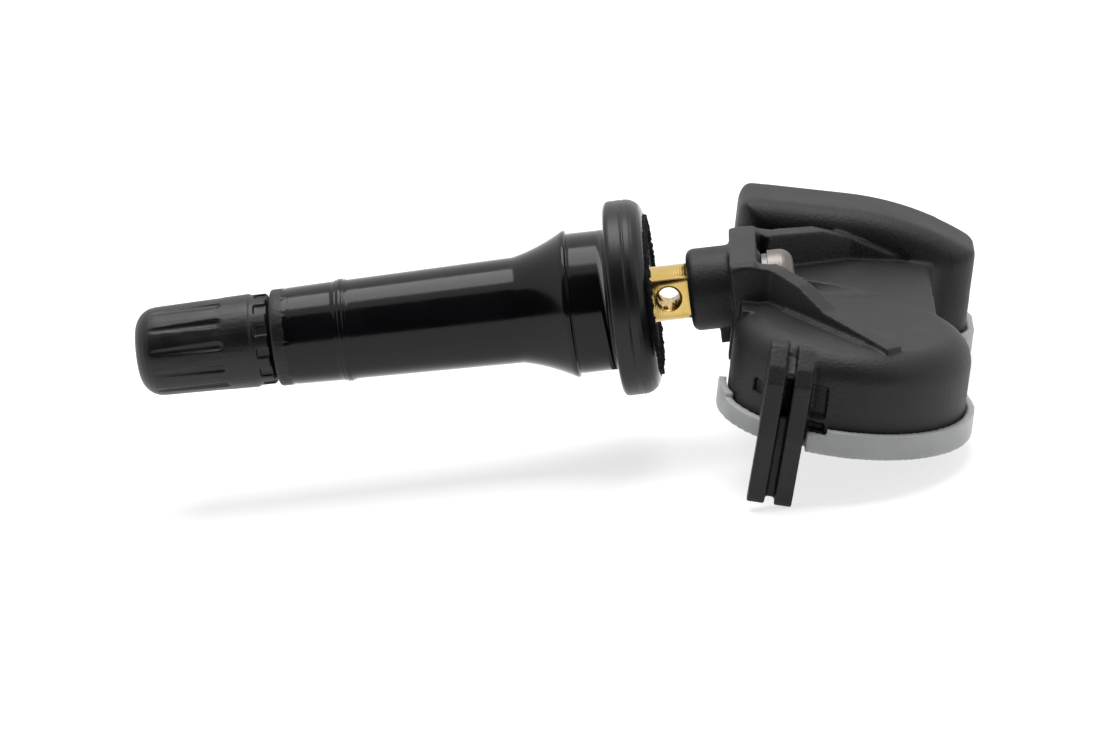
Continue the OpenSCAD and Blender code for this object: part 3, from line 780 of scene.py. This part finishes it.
@dataclass
class RubberValve:
    """The rubber body of the valve: sleeve, flare, ridge, neck and flange. Sizes in mm.

    Stations are measured from the flange's seat. The fine ring's section is given by each
    point's distance from its middle and height over the sleeve. Each nick of the parting
    line has its angle in degrees and its depth, and the nicks' width is in radians.
    """

    tip: float = -34.1
    tip_radius: float = 4.85
    lip_radius: float = 3.8
    lip_height: float = 0.35
    matt_band: float = 1.3
    ring: float = -27.0
    ring_section: Outline = field(
        default_factory=lambda: [(0.6, 0.0), (0.5, 0.08), (0.42, 0.08), (0.34, 0.02), (0.24, 0.17)]
    )
    flare: float = -9.6
    flare_steps: int = 16
    root_radius: float = 5.3
    ridge: float = -4.2
    ridge_radius: float = 7.35
    neck_radius: float = 7.0
    flange_radius: float = 9.75
    flange_back: float = 3.9
    seat_fillet: float = 0.5
    front_round: float = 0.6
    back_round: float = 1.8
    parting: float = 1.9
    nicks: tuple[tuple[float, float], ...] = ((96.0, 0.22), (262.0, 0.16), (20.0, 0.12))
    nick_width: float = 0.06
    torn_ring: tuple[float, float] = (6.4, 8.0)
    torn_height: float = 0.4
    tear_mean: float = 0.16
    tear_most: float = 0.36
    tear_across: float = 0.22
    rough_out: float = 0.035
    rough_along: float = 0.16
    bore_radius: float = 2.75
    stem_radius: float = 3.5
    segments: int = 300
    longest_face: float = 0.5

    def sleeve_radius(self, station: float) -> float:
        """Gives the radius of the tapering sleeve.

        Args:
            station: Station along the axis.

        Returns:
            The radius there.
        """
        share = (station - self.tip) / (self.flare - self.tip)
        return self.tip_radius * (1 - share) + self.root_radius * share

    def outline(self) -> Outline:
        """Section of the rubber from its tip over the flange and back along the stem.

        Returns:
            Points of station and radius.
        """
        ring_radius = self.sleeve_radius(self.ring)
        rise = self.ridge_radius - self.root_radius
        run = self.ridge - 0.2 - self.flare
        flare = [
            (self.flare + run * t, self.root_radius + rise * (0.55 * t + 0.45 * t * t))
            for t in [k / self.flare_steps for k in range(self.flare_steps + 1)]
        ]
        ring = [(self.ring - away, ring_radius + lift) for away, lift in self.ring_section]
        ring += [(self.ring + away, ring_radius + lift) for away, lift in reversed(self.ring_section)]
        fillet, front, round_off = self.seat_fillet, self.front_round, self.back_round
        back, edge = self.flange_back, self.flange_radius
        inner, outer = self.torn_ring
        top = back + self.torn_height
        lip = self.tip - self.lip_height
        return [
            (self.tip, self.stem_radius),
            (self.tip - 0.1, self.stem_radius),
            (lip, self.stem_radius + 0.05),
            (lip, self.lip_radius - 0.08),
            (lip + 0.08, self.lip_radius),
            (self.tip, self.lip_radius),
            (self.tip, self.tip_radius - 0.3),
            (self.tip + 0.08, self.tip_radius - 0.1),
            (self.tip + 0.25, self.tip_radius),
            (self.tip + self.matt_band, self.tip_radius),
            (self.tip + 1.42, self.tip_radius - 0.07),
            (self.tip + 1.9, self.sleeve_radius(self.tip + 1.9) - 0.02),
            *ring,
            *flare,
            (self.ridge, self.ridge_radius),
            (self.ridge + 0.1, self.ridge_radius - 0.03),
            (self.ridge + 0.16, self.neck_radius - 0.02),
            (self.ridge + 0.26, self.neck_radius - 0.02),
            (self.ridge + 0.34, self.neck_radius + 0.03),
            (-fillet, self.neck_radius),
            *arc((-fillet, self.neck_radius + fillet), fillet, -90, 0, 4),
            *arc((front, edge - front), front, 180, 90, 6),
            (self.parting - 0.07, edge),
            (self.parting, edge - 0.1),
            (self.parting + 0.07, edge),
            *arc((back - round_off, edge - round_off), round_off, 90, 0, 12),
            (back, outer + 0.06),
            (top - 0.1, outer),
            (top, outer - 0.12),
            (top, inner + 0.4),
            (top - 0.1, inner + 0.2),
            (back, inner),
            (back, self.bore_radius + 0.35),
            (back - 0.15, self.bore_radius),
            (back - 0.6, self.bore_radius),
            (back - 0.6, self.stem_radius),
        ]

    def shape(self, station: float, radius: float, angle: float) -> tuple[float, float]:
        """Tears the trimmed ring, roughens the matt lip and nicks the parting line.

        Args:
            station: Station of the point.
            radius: Radius of the point.
            angle: Angle round the axis, in radians from the y axis.

        Returns:
            The station and radius that the point moves to.
        """
        inner, outer = self.torn_ring
        if station > self.flange_back + 0.05:
            at = Vector((radius * math.cos(angle), radius * math.sin(angle), station))
            tear = noise.noise(at * 1.7) * 0.5 + noise.noise(at * 4.1) * 0.5
            station -= max(0.0, min(self.tear_most, self.tear_mean + 0.5 * tear))
            if radius > (inner + outer) / 2:
                radius += self.tear_across * noise.noise(at * 2.3)
        elif self.in_matt_band(station) and radius > self.lip_radius + 0.1:
            at = Vector((4.8 * math.cos(angle), 4.8 * math.sin(angle), station))
            radius += self.rough_out * noise.noise(at * 2.6)
            if station > self.tip + self.matt_band - 0.1:
                station += self.rough_along * noise.noise(at * 1.9)
        if abs(station - self.parting) < 0.02:
            for place, depth in self.nicks:
                away = (angle - math.radians(place)) / self.nick_width
                radius -= depth * math.exp(-(away**2))
        return station, radius

    def in_matt_band(self, station: float) -> bool:
        """Tells whether a station lies in the rough band at the sleeve's lip.

        Args:
            station: The station.

        Returns:
            True from the sleeve's tip to just past the band's end.
        """
        return self.tip - 0.01 <= station < self.tip + self.matt_band + 0.3

    def zone(self, station: float, radius: float) -> RubberZone:
        """Tells which finish a spot of the rubber has.

        Args:
            station: Station of the spot.
            radius: Its radius.

        Returns:
            The zone that it lies in.
        """
        if station > self.flange_back - 0.05 and radius < self.torn_ring[1] + 0.2:
            return RubberZone.TORN
        if station < self.tip + self.matt_band:
            return RubberZone.MATT
        if 0.3 < station < self.flange_back - 0.4 and radius > self.flange_radius - 0.9:
            return RubberZone.STREAKED
        return RubberZone.PLAIN

    def build(self) -> None:
        """Builds the rubber body and paints its zones."""
        outline = refined(self.outline(), self.longest_face)
        angles = [math.tau * step / self.segments for step in range(self.segments)]
        sections = [[self.shape(x, radius, angle) for x, radius in outline] for angle in angles]
        mesh = lathe_mesh("rubber", sections)
        show(mesh, "rubber_moulded", RUBBER, Body.SENSOR, "rubber_body")
        for finish in (RUBBER_TORN, RUBBER_MATT, RUBBER_STREAKED):
            mesh.materials.append(finish.material())
        for face in mesh.polygons:
            centre = face.center / MM
            face.material_index = self.zone(centre.x, math.hypot(centre.y, centre.z)).value


@dataclass
class BrassStem:
    """The brass stem: a threaded mouth and a flat-sided bar. Sizes in mm.

    The thread's flank and root are shares of half a pitch.
    """

    mouth: float = -45.4
    thread_end: float = -34.8
    sleeve_tip: float = -34.1
    major: float = 3.85
    depth: float = 0.42
    pitch: float = 0.794
    root: float = 0.12
    flank: float = 0.72
    chamfer: float = 0.5
    run_out: float = 0.6
    relief: float = 0.4
    bore: float = 2.7
    segments: int = 96
    stations_a_pitch: int = 8

    def thread_mesh(self) -> bpy.types.Mesh:
        """Builds the threaded mouth as one closed tube.

        Returns:
            The mesh, in metres.
        """
        stations: list[float] = []
        station = self.mouth
        while station < self.sleeve_tip - WELD:
            stations.append(station)
            station += self.pitch / self.stations_a_pitch
        stations.append(self.sleeve_tip)
        sections: list[Outline] = []
        for step in range(self.segments):
            thread = [(x, self.thread_radius(x, step / self.segments)) for x in stations]
            sections.append([*thread, (self.sleeve_tip, self.bore), (self.mouth, self.bore)])
        return lathe_mesh("thread", sections)

    def thread_radius(self, station: float, turn: float) -> float:
        """Gives the thread's radius at a station and a share of a turn.

        Args:
            station: Station along the axis.
            turn: Share of a turn, from 0 to 1.

        Returns:
            The radius, with the first thread chamfered and the last one run out.
        """
        phase = ((station - self.mouth) / self.pitch - turn) % 1
        crest = 1 - abs(2 * phase - 1)
        crest = min(1.0, max(0.0, (crest - self.root) / self.flank))
        cut = self.depth * (1 - crest)
        lead_in = max(0.0, self.chamfer - (station - self.mouth))
        full = min(1.0, max(0.0, (self.thread_end - station) / self.run_out))
        if station > self.thread_end:
            return self.major - self.relief
        return min(self.major - cut * full - self.relief * (1 - full), self.major - lead_in)

    def build(self) -> None:
        """Builds the thread and the rest of the stem behind it."""
        show(self.thread_mesh(), "stem_thread", BRASS, Body.SENSOR, "brass_stem", crease=50)
        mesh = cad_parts["brass_stem"].data.copy()
        with opened(mesh) as work:
            bmesh.ops.remove_doubles(work, verts=work.verts, dist=WELD * MM)
            cut = bmesh.ops.bisect_plane(
                work,
                geom=[*work.verts, *work.edges, *work.faces],
                plane_co=(self.sleeve_tip * MM, 0, 0),
                plane_no=(-1, 0, 0),
                clear_outer=True,
            )
            edges = [part for part in cut["geom_cut"] if isinstance(part, bmesh.types.BMEdge)]
            bmesh.ops.triangle_fill(work, use_beauty=True, edges=edges)
        show(mesh, "stem_bar", BRASS, Body.SENSOR, "brass_stem", crease=25)


@dataclass
class ValveCore:
    """The valve core inside the stem's mouth. Sizes in mm."""

    finishes: dict[str, Finish] = field(
        default_factory=lambda: {
            "core_head": BRASS,
            "core_barrel": BRASS,
            "core_seal_ring": FLUORO,
            "core_pin": BRASS,
            "core_washer": NITRILE,
        }
    )
    stroke: float = 1.5
    spring_seat: float = -33.4

    def build(self) -> None:
        """Dresses the core's pieces and puts in the spring as a piece of its own."""
        dress_all(self.finishes)
        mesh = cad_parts["core_spring"].data.copy()
        spring = show(mesh, "spring_wound", SPRING, Body.SENSOR, "core_spring", crease=40)
        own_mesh(spring)


@dataclass(frozen=True)
class WingEnd:
    """The low end of a wing, in the housing's own tilted frame.

    It starts at a place behind the plate and to the back, and runs at an angle from
    straight behind the plate. Its two rises are its heights over the lobe's top at its
    start and its end. Sizes are in millimetres.
    """

    start: tuple[float, float]
    angle: float
    length: float
    rises: tuple[float, float]


@dataclass
class SensorHousing:
    """The black moulding with its wings, trough, lobes and leg, and its milky cover. Sizes in mm."""

    voxel: float = 0.15
    rounds: int = 3
    keep: float = 0.32
    cover_voxel: float = 0.15
    cover_rounds: int = 2
    origin_x: float = 13.35
    axis_height: float = 6.9
    tilt: float = 13.4
    top: float = 7.4
    wing_thickness: float = 2.0
    leg_centre: float = 4.15
    leg_lean: float = 2.3
    rib_inner: float = 0.475
    rib_outer: float = 2.175
    rib_root: float = 4.0
    wall_front: float = 21.6
    near_end: WingEnd = WingEnd((7.18, -12.66), -47, 9.06, (1.35, 0.45))
    far_end: WingEnd = WingEnd((10.4, 11.12), 15.5, 5.7, (2.1, 0.1))
    plate_top: SoftRegion = SoftRegion((11.0, -9.0, 2.4), (16.5, 9.0, 9.0), 12)
    back_far_end: SoftRegion = SoftRegion((33.0, 9.0, -9.0), (40.0, 26.0, 2.0), 45)
    web_corner: SoftRegion = SoftRegion((29.5, 2.0, -13.0), (34.0, 13.5, -2.0), 40)
    back_near_end: SoftRegion = SoftRegion((8.0, 9.0, -3.0), (16.0, 26.0, 6.0), 25)

    def placed(self, u: float, v: float, w: float) -> Vector:
        """Turns a point of the tilted housing into one of the shared frame.

        Args:
            u: Distance behind the bracket plate.
            v: Distance to the back.
            w: Height over the cover's upper edge.

        Returns:
            The point, in millimetres.
        """
        tilt = math.radians(self.tilt)
        rise = w - self.axis_height
        x = self.origin_x + u * math.cos(tilt) + rise * math.sin(tilt)
        return Vector((x, v, -u * math.sin(tilt) + rise * math.cos(tilt)))

    def fin(self, end: WingEnd) -> Prism:
        """Gives a wing its low end, which stands a little over the lobe.

        Args:
            end: The wing's end.

        Returns:
            The rib to add.
        """
        turn = math.radians(end.angle)

        def place(along: float, height: float, across: float) -> Vector:
            """Turns a point of the wing's side into one of the shared frame.

            Args:
                along: Distance along the wing's end.
                height: Height over the cover's upper edge.
                across: Distance through its thickness.

            Returns:
                The point, in millimetres.
            """
            u = end.start[0] + along * math.cos(turn) - across * math.sin(turn)
            v = end.start[1] + along * math.sin(turn) + across * math.cos(turn)
            return self.placed(u, v, height)

        outline = (
            (0.0, self.top - 1),
            (end.length, self.top - 1),
            (end.length, self.top + end.rises[1]),
            (0.0, self.top + end.rises[0]),
        )
        return Prism(outline, 0.0, self.wing_thickness, place)

    def leg_rib(self, side: int) -> Prism:
        """Carries one rib of the leg up into the lobe's round edge.

        Args:
            side: 1 or -1, for the rib on either side of the slot.

        Returns:
            The rib to add.
        """
        lean = math.radians(self.leg_lean)
        front = self.wall_front

        def place(distance: float, height: float, across: float) -> Vector:
            """Turns a point of the rib's side into one of the shared frame.

            Args:
                distance: Distance in front of the plan's origin.
                height: Height over the cover's upper edge.
                across: Distance from the middle of the leg.

            Returns:
                The point, in millimetres.
            """
            rise = height - 1
            u = self.leg_centre + across * math.cos(lean) + rise * math.sin(lean)
            return self.placed(u, -distance, 1 - across * math.sin(lean) + rise * math.cos(lean))

        outline = (
            (front - self.rib_root, self.top - self.rib_root),
            (front + 0.5, self.top - self.rib_root),
            (front + 0.5, self.top - 3.4),
            (front - 0.4, self.top - 1.9),
            (front - 2.2, self.top - 0.3),
            (front - self.rib_root, self.top - 0.3),
        )
        return Prism(outline, side * self.rib_inner, side * self.rib_outer, place)

    def build(self) -> None:
        """Builds the housing and cover with moulded edges, and dresses the filter."""
        ribs = (self.fin(self.near_end), self.fin(self.far_end), self.leg_rib(-1), self.leg_rib(1))
        regions = (self.plate_top, self.back_far_end, self.web_corner, self.back_near_end)
        housing = moulded_mesh("sensor_housing", self.voxel, self.rounds, self.keep, ribs, regions)
        show(housing, "housing_moulded", GLASS_NYLON, Body.SENSOR, "sensor_housing")
        cover = moulded_mesh("bottom_cover", self.cover_voxel, self.cover_rounds, self.keep)
        show(cover, "cover_moulded", MILKY, Body.SENSOR, "bottom_cover")
        dress("port_filter", FELT)


@dataclass
class ScrewJoint:
    """The screw that holds the housing on the bar, and its washer."""

    finishes: dict[str, Finish] = field(
        default_factory=lambda: {"retaining_screw": PLATED, "screw_washer": PLATED}
    )

    def build(self) -> None:
        """Dresses the screw and its washer."""
        dress_all(self.finishes)


@dataclass
class Electronics:
    """The board and all that stands on it."""

    finishes: dict[str, Finish] = field(
        default_factory=lambda: {
            "circuit_board": BOARD,
            "battery_cell": CELL_CAN,
            "battery_tab_upper": STRIP,
            "battery_tab_lower": STRIP,
            "pressure_chip": EPOXY,
            "aerial_strip": BRONZE,
            "wake_coil_core": FERRITE,
            "wake_coil_winding": COPPER,
            "crystal": CELL_CAN,
            "capacitors": CERAMIC,
        }
    )

    def build(self) -> None:
        """Dresses the electronic pieces."""
        dress_all(self.finishes)


@dataclass(frozen=True)
class Softbox:
    """An even rectangular lamp. Places and sizes are in metres, and its power in watts."""

    name: str
    place: tuple[float, float, float]
    target: tuple[float, float, float]
    size: tuple[float, float]
    power: float

    def hang(self) -> None:
        """Hangs the lamp so that it faces its target."""
        data = bpy.data.lights.new(self.name, "AREA")
        data.shape = "RECTANGLE"
        data.size, data.size_y = self.size
        data.energy = self.power
        lamp = bpy.data.objects.new(self.name, data)
        bpy.context.scene.collection.objects.link(lamp)
        lamp.location = self.place
        lamp.rotation_mode = "QUATERNION"
        lamp.rotation_quaternion = (Vector(self.target) - Vector(self.place)).to_track_quat("-Z", "Y")


@dataclass
class Studio:
    """The camera, lamps, floor, dark card and white surroundings.

    Angles are in degrees. The camera's distance, shifts, lens and sensor are in
    millimetres. Its view range and the sizes of the floor and the card are in metres.
    """

    azimuth: float = 4.0
    elevation: float = 18.0
    roll: float = 7.74
    distance: float = 500.0
    shift_right: float = -6.748
    shift_up: float = -6.226
    lens: float = 162.59
    sensor: float = 36.0
    view_range: tuple[float, float] = (0.01, 20.0)
    fill: float = 0.3
    floor_glow: float = 0.7
    floor_half: float = 3.0
    flag_distance: float = 0.9
    flag_size: tuple[float, float] = (3.2, 1.9)
    overhead: Softbox = Softbox("overhead_softbox", (0.02, 0.1, 0.62), (0.0, 0.0, 0.0), (0.5, 0.42), 2.8)
    side: Softbox = Softbox("side_softbox", (0.55, -0.35, 0.4), (0.02, 0.0, 0.0), (0.3, 0.4), 0.35)

    def build(self) -> None:
        """Sets up the camera, the lamps, the world and the floor."""
        bpy.context.scene.view_settings.view_transform = "Standard"
        self._camera()
        self._world()
        self._floor()
        self._flag()
        self.overhead.hang()
        self.side.hang()

    def _camera(self) -> None:
        """Places the camera where the photograph was taken from."""
        az, el, roll = (math.radians(a) for a in (self.azimuth, self.elevation, self.roll))
        back = Vector((math.sin(az) * math.cos(el), -math.cos(az) * math.cos(el), math.sin(el)))
        right = Vector((math.cos(az), math.sin(az), 0))
        up = Vector((-math.sin(az) * math.sin(el), math.cos(az) * math.sin(el), math.cos(el)))
        rolled_right = right * math.cos(roll) - up * math.sin(roll)
        rolled_up = right * math.sin(roll) + up * math.cos(roll)
        place = Matrix((rolled_right, rolled_up, back)).transposed().to_4x4()
        place.translation = (back * self.distance + right * self.shift_right + up * self.shift_up) * MM
        data = bpy.data.cameras.new("camera")
        data.lens, data.sensor_width = self.lens, self.sensor
        data.clip_start, data.clip_end = self.view_range
        camera = bpy.data.objects.new("camera", data)
        bpy.context.scene.collection.objects.link(camera)
        camera.matrix_world = place
        bpy.context.scene.camera = camera

    def _world(self) -> None:
        """Makes surroundings that look white, and light the object softly."""
        world = bpy.data.worlds.new("surroundings")
        bpy.context.scene.world = world
        world.use_nodes = True
        tree = world.node_tree
        sky = tree.nodes["Background"]
        sky.inputs["Color"].default_value = linear("#ffffff")
        strengths = {"data_type": "FLOAT", 2: self.fill, 3: 1.0}
        level = add_node(tree, "ShaderNodeMix", strengths, {0: self._seen(tree)})
        tree.links.new(level.outputs[0], sky.inputs["Strength"])

    def _seen(self, tree: bpy.types.NodeTree) -> bpy.types.NodeSocket:
        """Tells which rays see the surroundings: straight, in a gloss or through a clear piece.

        Args:
            tree: The node tree.

        Returns:
            An output that is 1 for such a ray and 0 for one that only lights something.
        """
        path = add_node(tree, "ShaderNodeLightPath")
        seen = path.outputs["Is Camera Ray"]
        for kind in ("Is Glossy Ray", "Is Transmission Ray"):
            seen = calculated(tree, "MAXIMUM", seen, path.outputs[kind])
        return seen

    def _matt(self, name: str, colour: str, roughness: float) -> bpy.types.Material:
        """Makes a material without any gloss.

        Args:
            name: Name of the material.
            colour: Its sRGB colour.
            roughness: Its roughness.

        Returns:
            The material.
        """
        made = bpy.data.materials.new(name)
        made.use_nodes = True
        shader = made.node_tree.nodes["Principled BSDF"]
        shader.inputs["Base Color"].default_value = linear(colour)
        shader.inputs["Roughness"].default_value = roughness
        shader.inputs["Specular IOR Level"].default_value = 0.0
        return made

    def _sheet(
        self, name: str, corners: list[tuple[float, float, float]], material: bpy.types.Material
    ) -> bpy.types.Object:
        """Puts one flat sheet into the scene.

        Args:
            name: Name of the sheet.
            corners: Its four corners, in metres.
            material: Its material.

        Returns:
            The sheet.
        """
        mesh = bpy.data.meshes.new(name)
        mesh.from_pydata(corners, [], [(0, 1, 2, 3)])
        mesh.materials.append(material)
        sheet = bpy.data.objects.new(name, mesh)
        bpy.context.scene.collection.objects.link(sheet)
        return sheet

    def _flag(self) -> None:
        """Stands a black card behind the camera, so that what faces the camera stays dark."""
        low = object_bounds()[0].z
        half, high = self.flag_size[0] / 2, low + self.flag_size[1]
        front = -self.flag_distance
        corners = [(-half, front, low), (half, front, low), (half, front, high), (-half, front, high)]
        flag = self._sheet("flag", corners, self._matt("velvet_black", "#0a0a0b", 1.0))
        flag.visible_camera = False
        flag.visible_transmission = False
        flag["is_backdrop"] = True

    def _floor(self) -> None:
        """Lays a pale floor under the lowest point, bright enough to end in white."""
        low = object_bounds()[0].z
        half = self.floor_half
        paper = self._matt("paper_matt_white", "#d9d9db", 0.9)
        tree = paper.node_tree
        shader = tree.nodes["Principled BSDF"]
        glow = calculated(tree, "MULTIPLY", self._seen(tree), self.floor_glow)
        shader.inputs["Emission Color"].default_value = linear("#ffffff")
        tree.links.new(glow, shader.inputs["Emission Strength"])
        corners = [(-half, -half, low), (half, -half, low), (half, half, low), (-half, half, low)]
        floor = self._sheet("floor", corners, paper)
        floor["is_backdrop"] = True


def main() -> None:
    """Builds the looks piece by piece."""
    logging.basicConfig(level=logging.INFO, format="%(name)s: %(message)s")
    valve = (ValveCap(), RubberValve(), BrassStem(), ValveCore())
    for part in (*valve, SensorHousing(), ScrewJoint(), Electronics()):
        LOG.info("building %s", type(part).__name__)
        part.build()
    Studio().build()


if __name__ == "__main__":
    main()
